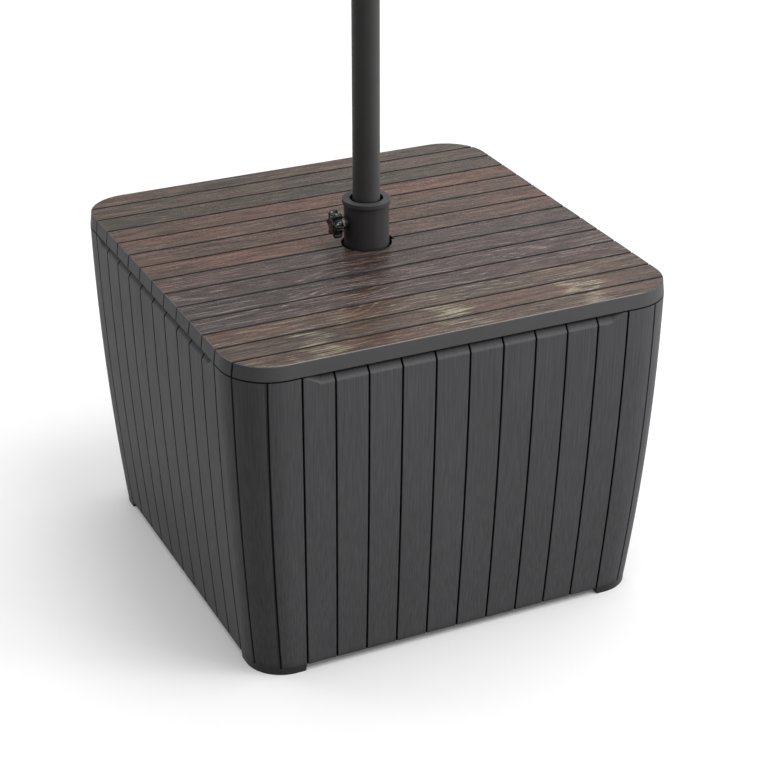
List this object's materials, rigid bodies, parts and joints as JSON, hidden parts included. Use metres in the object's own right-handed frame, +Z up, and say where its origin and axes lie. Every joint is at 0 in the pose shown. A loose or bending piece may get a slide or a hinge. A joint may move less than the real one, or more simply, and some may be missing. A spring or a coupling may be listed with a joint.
{
  "type": "parasol base side table",
  "caption": "Square planked resin side table with drawn-in panelled walls and a lift-off lid, holding a parasol pole in a central clamped socket.",
  "frame": {"origin": "on the floor, under the centre of the table, on the pole's axis", "axes": "+Z up along the pole, +X to the right along the deck planks, -X towards the clamp knob, -Y to the front"},
  "size_m": [0.584, 0.584, 0.9065],
  "materials": {
    "graphite_resin": "satin moulded resin with vertical wood grain",
    "brown_deck": "wood-look resin planks, satin",
    "tray_resin": "plain moulded resin",
    "foot_resin": "plain moulded resin",
    "tube_coat": "dark powder coat",
    "pole_coat": "graphite powder coat, satin",
    "ring_plastic": "grey moulded plastic",
    "knob_plastic": "black moulded plastic",
    "bright_steel": "zinc-plated steel",
    "inner_plastic": "black moulded plastic"
  },
  "bodies": {
    "base": {"panel_front": "graphite_resin", "panel_right": "graphite_resin", "panel_rear": "graphite_resin", "panel_left": "graphite_resin", "foot_front_right": "foot_resin", "foot_rear_right": "foot_resin", "foot_rear_left": "foot_resin", "foot_front_left": "foot_resin", "base_tray": "tray_resin", "socket_flange": "tube_coat", "socket_tube": "tube_coat", "seat_cup": "inner_plastic", "collar_ring": "ring_plastic", "clamp_boss": "tube_coat", "clamp_nut": "bright_steel", "seam_screws": "bright_steel", "tray_screws": "bright_steel", "foot_screws": "bright_steel", "flange_bolts": "bright_steel", "flange_washers": "bright_steel", "flange_nuts": "bright_steel"},
    "lid": {"lid_deck": "brown_deck", "lid_frame": "graphite_resin", "deck_screws": "bright_steel"},
    "mast": {"pole": "pole_coat", "pole_plug": "inner_plastic"},
    "clamp_screw": {"clamp_stud": "bright_steel"},
    "knob": {"star_knob": "knob_plastic", "knob_cap": "knob_plastic"}
  },
  "joints": [
    {"name": "lid_lift", "type": "slide", "parent": "base", "child": "lid", "axis": [0, 0, 1], "range_m": [0, 0.012]},
    {"name": "pole_lift", "type": "slide", "parent": "base", "child": "mast", "axis": [0, 0, 1], "range_m": [0, 0.47]},
    {"name": "clamp_travel", "type": "slide", "parent": "base", "child": "clamp_screw", "axis": [-1, 0, 0], "range_m": [0, 0.00875]},
    {"name": "clamp_turn", "type": "hinge", "parent": "clamp_screw", "child": "knob", "pos_m": [-0.045, 0, 0.4655], "axis": [-1, 0, 0], "range_deg": [0, 2520]}
  ],
  "couplings": [
    {"joint": "clamp_travel", "follows": "clamp_turn", "m_per_rad": 0.00019894}
  ]
}
